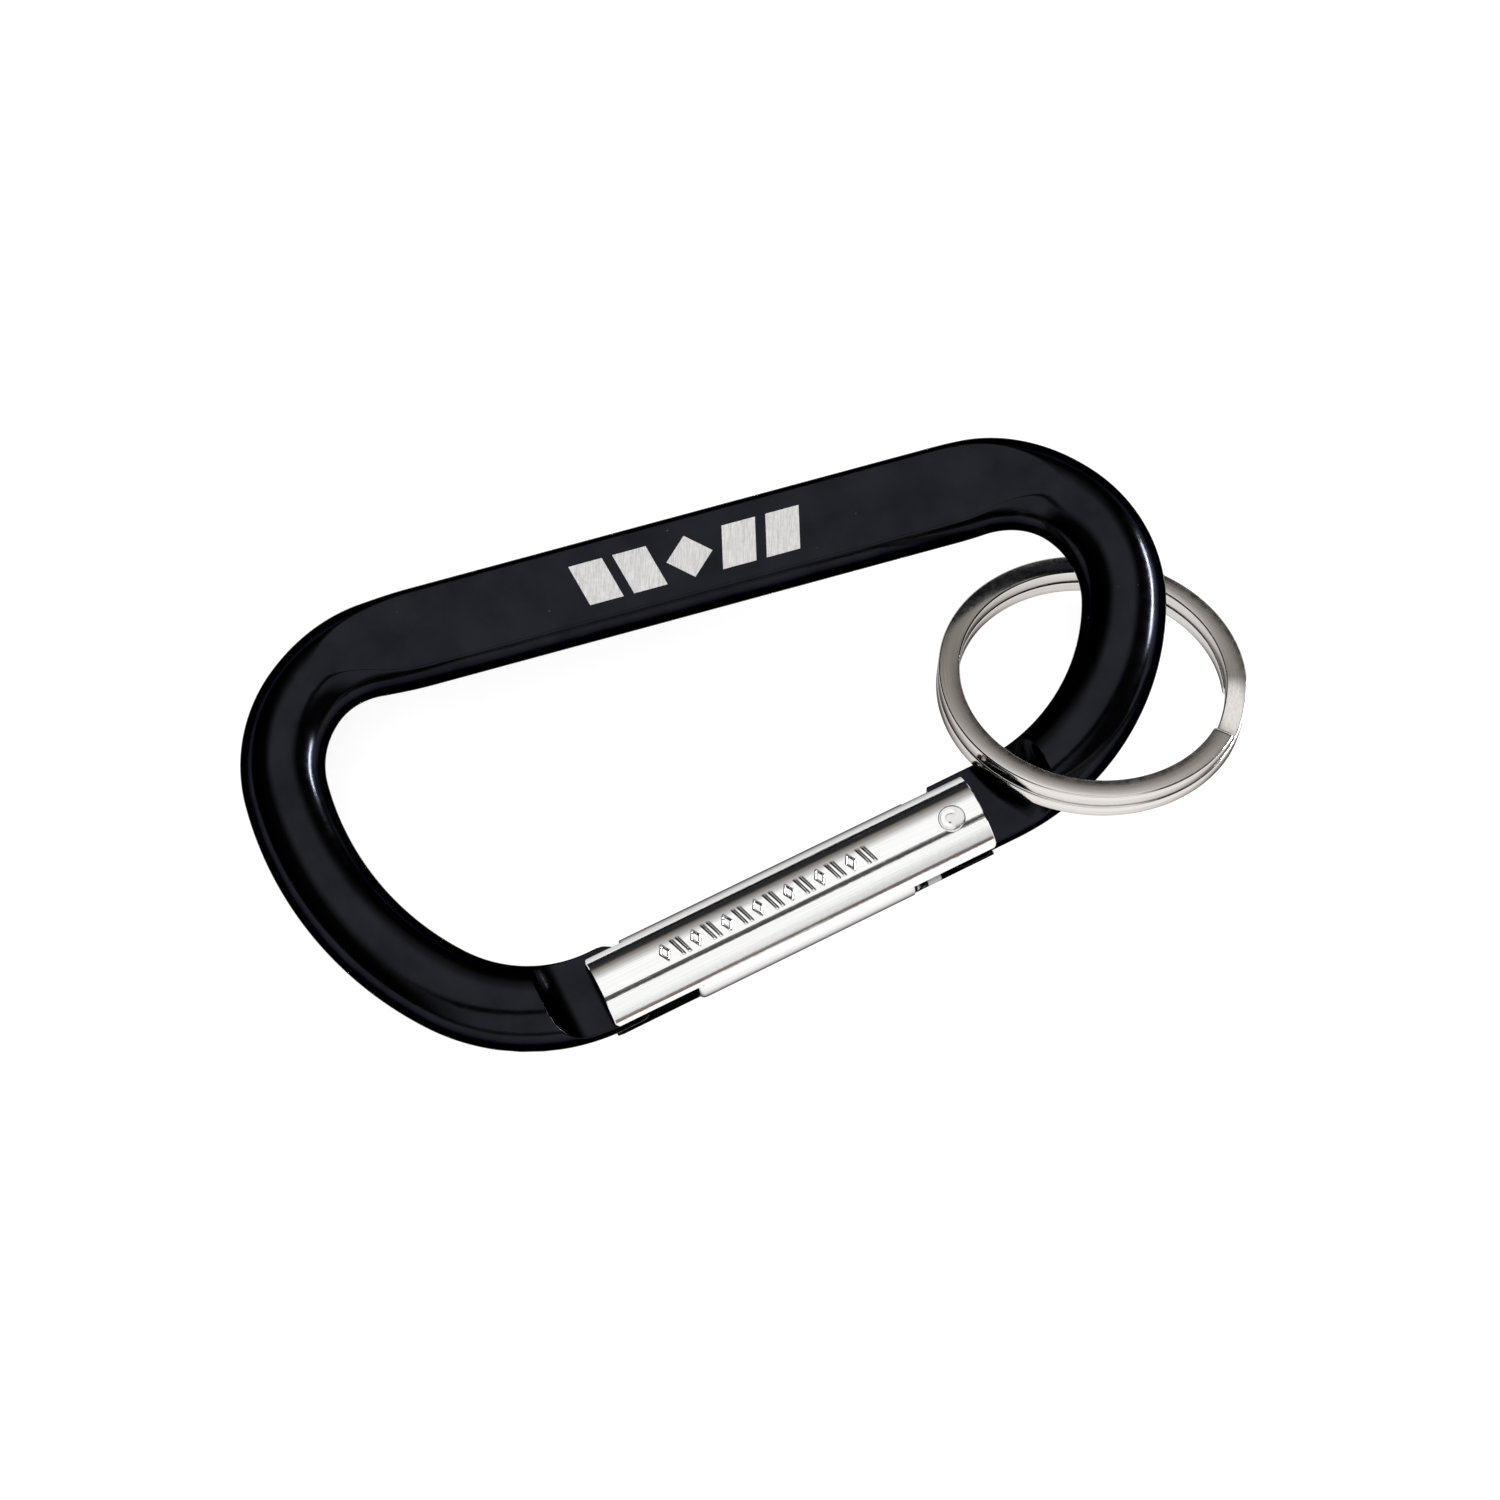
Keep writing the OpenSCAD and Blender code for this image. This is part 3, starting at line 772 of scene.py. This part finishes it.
def build_rivet(materials):
    """Rivet whose peened ends follow the sleeve's round, each with a crescent-shaped dimple."""
    head_r, shank_r, segments = 1.2, 1.1, 72
    # radius, height above the sleeve's surface
    profile = [(r, 0.05) for r in (0.02, 0.2, 0.4, 0.6, 0.8, 0.95)]
    profile += [(1.05, 0.045), (1.12, 0.02), (1.17, -0.04), (head_r, -0.12)]
    angles = np.linspace(0, 2 * math.pi, segments, endpoint=False)

    def cap(sign):
        out = []
        for r, rise in profile:
            x, y = r * np.cos(angles), r * np.sin(angles)
            z = np.sqrt(GATE_R_HINGE ** 2 - y ** 2) + rise
            # a crescent pressed into the head
            track = np.exp(-((np.hypot(x - 0.1, y + 0.08) - 0.62) / 0.16) ** 2)
            moon = track * smooth(0.7 - np.cos(angles - 2.5))
            out.append(np.column_stack([x, y, sign * (z - 0.13 * moon)]))
        return out

    rings = cap(1)
    for r, z in ((head_r, 3.0), (shank_r, 2.9), (shank_r, -2.9), (head_r, -3.0)):
        rings.append(np.column_stack([r * np.cos(angles), r * np.sin(angles), np.full(segments, z)]))
    rings += cap(-1)[::-1]
    verts, faces = skin(rings)
    mesh_object("hinge_rivet_peened", in_gate(verts), faces, materials, sharp=45,
                body="gate", replaces="hinge_rivet")


# ---------------------------------------------------------------- spring
def build_spring(materials):
    """Compression spring with closed end turns. It stops short of the seat tab by the plunger's stroke,
    because the coil moves as one piece when the gate opens."""
    wire, outside, turns = 0.55, 4.9, 11
    start = HINGE_TIP + PLUNGER_GAP + PLUNGER_HEAD + wire / 2
    end = SEAT - wire / 2 - PLUNGER_STROKE
    closed = wire * 1.02
    pitch = (end - start - 2 * closed) / (turns - 2)
    steps, sides = 40, 12
    ring_angles = np.linspace(0, 2 * math.pi, sides, endpoint=False)
    t = np.linspace(0, turns, turns * steps + 1)
    open_turns = np.clip(t - 1, 0, turns - 2)
    closed_turns = np.minimum(t, 1) + np.maximum(t - turns + 1, 0)
    s = start + closed_turns * closed + open_turns * pitch
    radius = (outside - wire) / 2
    a = 2 * math.pi * t
    out = radius + wire / 2 * np.cos(ring_angles)[None]
    along = s[:, None] + wire / 2 * np.sin(ring_angles)[None]
    rings = np.stack([along, out * np.cos(a)[:, None], out * np.sin(a)[:, None]], -1)
    verts, faces = skin(rings)
    mesh_object("gate_spring_coil", in_gate(verts), faces, materials, sharp=50,
                body="plunger", replaces="gate_spring")


# ---------------------------------------------------------------- split ring
def build_ring(materials):
    """Flat wire of two turns that steps from the lower turn to the upper and has thinned ends."""
    jog, start_angle, steps = 28.0, -81.0, 420
    span = 720 - jog
    gap, bevel = 0.05, 0.2
    layer = RING_THICK / 4 + gap / 4
    half_t, half_w = (RING_THICK / 2 - gap / 2) / 2, RING_WIRE_W / 2
    corner = []
    for cx, cz, a0 in ((1, 1, 0), (-1, 1, 90), (-1, -1, 180), (1, -1, 270)):
        for a in np.radians(np.linspace(a0 + 8, a0 + 82, 4)):
            corner.append((cx * (half_w - bevel) + bevel * math.cos(a),
                           cz * (half_t - bevel) + bevel * math.sin(a)))
    corner = np.array(corner)
    rings = []
    for t in np.linspace(0, span, steps * 2):
        angle = math.radians(start_angle + t)
        z = layer * (2 * smooth((t - 360 + jog) / jog) - 1)
        # both ends are ground thinner on the side that meets the other turn
        tail_up = smooth((t - (span - 26)) / 26)
        tail_down = smooth((26 - t) / 26)
        section_z = corner[:, 1].copy()
        section_z = np.where(section_z < 0, section_z + 0.5 * tail_up, section_z)
        section_z = np.where(section_z > 0, section_z - 0.35 * tail_down, section_z)
        end_round = min(t, span - t)
        trim = 1 - 0.35 * (1 - smooth(end_round / 1.2))
        radius = RING_R - half_w + corner[:, 0] * trim
        plane = radius[:, None] * np.array([math.cos(angle), math.sin(angle)])
        rings.append(np.column_stack([plane, z + section_z * trim]))
    local, faces = skin(rings)
    # the flat faces are satin and the walls are polished
    index = []
    for f in faces:
        q = local[f]
        normal = np.cross(q[1] - q[0], q[2] - q[0])
        index.append(int(abs(normal[2]) <= 0.75 * np.linalg.norm(normal)))
    placed = ring_centre + local @ ring_axes.T
    mesh_object("split_ring_wire", placed, faces, materials, index, sharp=50,
                body="ring", replaces="split_ring")


# ---------------------------------------------------------------- stage, lights, camera
CAMERA_AZIMUTH = math.radians(-15.75)
CAMERA_ELEVATION = math.radians(75.5)
VIEW_WIDTH = 0.125
CAMERA_DISTANCE = 0.45


def view_axes():
    a, e = CAMERA_AZIMUTH, CAMERA_ELEVATION
    right = np.array([math.cos(a), math.sin(a), 0])
    up = np.array([-math.sin(a) * math.sin(e), math.cos(a) * math.sin(e), math.cos(e)])
    back = np.array([math.sin(a) * math.cos(e), -math.cos(a) * math.cos(e), math.sin(e)])
    return right, up, back


def build_camera():
    right, up, back = view_axes()
    target = np.array([-0.4, 0.25, 0]) * MM + 0.00029 * right - 0.00058 * up
    data = bpy.data.cameras.new("camera")
    data.lens = 36.0 * CAMERA_DISTANCE / VIEW_WIDTH
    data.clip_start, data.clip_end = 0.01, 20
    camera = bpy.data.objects.new("camera", data)
    bpy.context.scene.collection.objects.link(camera)
    turn = Matrix(np.column_stack([right, up, back]).tolist())
    camera.matrix_world = Matrix.Translation(target + back * CAMERA_DISTANCE) @ turn.to_4x4()
    bpy.context.scene.camera = camera


def build_floor():
    size, level = 1.5, cad_box[0].z - 0.0004
    mesh = bpy.data.meshes.new("floor")
    corners = [(x * size, y * size, level) for x, y in ((-1, -1), (1, -1), (1, 1), (-1, 1))]
    mesh.from_pydata(corners, [], [(0, 1, 2, 3)])
    s = Shader("floor_white")
    s.link(s.mix(s.noise(3.0), (0.44, 0.44, 0.44), (0.48, 0.48, 0.48)), "Base Color")
    s.set(Roughness=0.9, Emission_Color=(1, 1, 1, 1), Emission_Strength=0.84)
    mesh.materials.append(s.material)
    floor = bpy.data.objects.new("floor", mesh)
    bpy.context.scene.collection.objects.link(floor)


def area_light(name, place, aim, size_x, size_y, energy):
    data = bpy.data.lights.new(name, "AREA")
    data.shape = "RECTANGLE"
    data.size, data.size_y, data.energy = size_x, size_y, energy
    light = bpy.data.objects.new(name, data)
    light.location = place
    light.rotation_euler = (Vector(aim) - Vector(place)).to_track_quat("-Z", "Y").to_euler()
    bpy.context.scene.collection.objects.link(light)


def build_world():
    """Light tent: white overhead with a dark slit, and dark low down and to the sides. The camera
    itself sees plain white."""
    world = bpy.data.worlds.new("studio")
    bpy.context.scene.world = world
    world.use_nodes = True
    nodes, links = world.node_tree.nodes, world.node_tree.links
    direction = nodes.new("ShaderNodeTexCoord").outputs["Generated"]

    def along(vector):
        node = nodes.new("ShaderNodeVectorMath")
        node.operation = "DOT_PRODUCT"
        node.inputs[1].default_value = vector
        links.new(direction, node.inputs[0])
        return node.outputs["Value"]

    def ramp(value, stops):
        node = nodes.new("ShaderNodeValToRGB")
        elements = node.color_ramp.elements
        for place, (position, level) in enumerate(stops):
            item = elements[place] if place < 2 else elements.new(position)
            item.position = position
            item.color = (*level, 1) if isinstance(level, tuple) else (level, level, level, 1)
        links.new(value, node.inputs[0])
        return node.outputs["Color"]

    def mix(factor, a, b, blend="MIX"):
        node = nodes.new("ShaderNodeMix")
        node.data_type = "RGBA"
        node.blend_type = blend
        for socket, value in zip((node.inputs[0], node.inputs[6], node.inputs[7]), (factor, a, b)):
            if isinstance(value, (int, float, tuple)):
                socket.default_value = value
            else:
                links.new(value, socket)
        return node.outputs[2]

    back = view_axes()[2]
    height = along((0, 0, 1))
    warm_grey, low_brown, card_brown = (0.31, 0.285, 0.265), (0.24, 0.2, 0.18), (0.22, 0.19, 0.17)
    far = ramp(height, [(0.0, 0.02), (0.27, 0.025), (0.47, warm_grey), (0.64, 0.5), (0.82, 1.0)])
    near = ramp(height, [(0.0, low_brown), (0.13, card_brown), (0.22, 0.95), (1.0, 1.0)])
    side = ramp(along((0.3, -1.0, 0)), [(0.15, 0.0), (0.5, 1.0)])
    tent = mix(side, far, near)
    across = np.cross((*gate_dir, 0), back)
    across = across / np.linalg.norm(across) * (1 if across[1] > 0 else -1)
    offset = nodes.new("ShaderNodeMath")
    offset.operation = "ADD"
    offset.inputs[1].default_value = 0.5
    links.new(along(tuple(across)), offset.inputs[0])
    slit = ramp(offset.outputs[0], [(0.29, 1.0), (0.34, 0.05), (0.48, 0.09), (0.54, 1.0)])
    high = ramp(height, [(0.72, 0.0), (0.8, 1.0)])
    tent = mix(high, tent, mix(1.0, tent, slit, "MULTIPLY"))
    sideways = nodes.new("ShaderNodeMath")
    sideways.operation = "ABSOLUTE"
    links.new(along((0.98, -0.2, 0)), sideways.inputs[0])
    tent = mix(1.0, tent, ramp(sideways.outputs[0], [(0.4, 1.0), (0.66, 0.06)]), "MULTIPLY")
    path = nodes.new("ShaderNodeLightPath")
    shown = mix(path.outputs["Is Camera Ray"], tent, (1, 1, 1, 1))
    links.new(shown, nodes["Background"].inputs["Color"])
    nodes["Background"].inputs["Strength"].default_value = 1.15
    bpy.context.scene.view_settings.view_transform = "Standard"


# ---------------------------------------------------------------- build
build_camera()
build_floor()
build_world()
area_light("rim", (0.58, 0.04, 0.085), (0, 0, 0), 0.3, 0.06, 5.5)

build_frame([black_anodised(), bare_aluminium()])
build_gate([nickel_gate(), sleeve_inside_painted_shade()])
build_rivet([nickel_rivet()])
build_spring([spring_steel("spring_steel", 0.6)])
build_ring([nickel_ring("ring_face", 0.2), nickel_ring("ring_wall", 0.11)])
plunger = frame["nodes"]["spring_plunger"]
plunger.data.materials.clear()
plunger.data.materials.append(spring_steel("plunger_steel", 0.66))
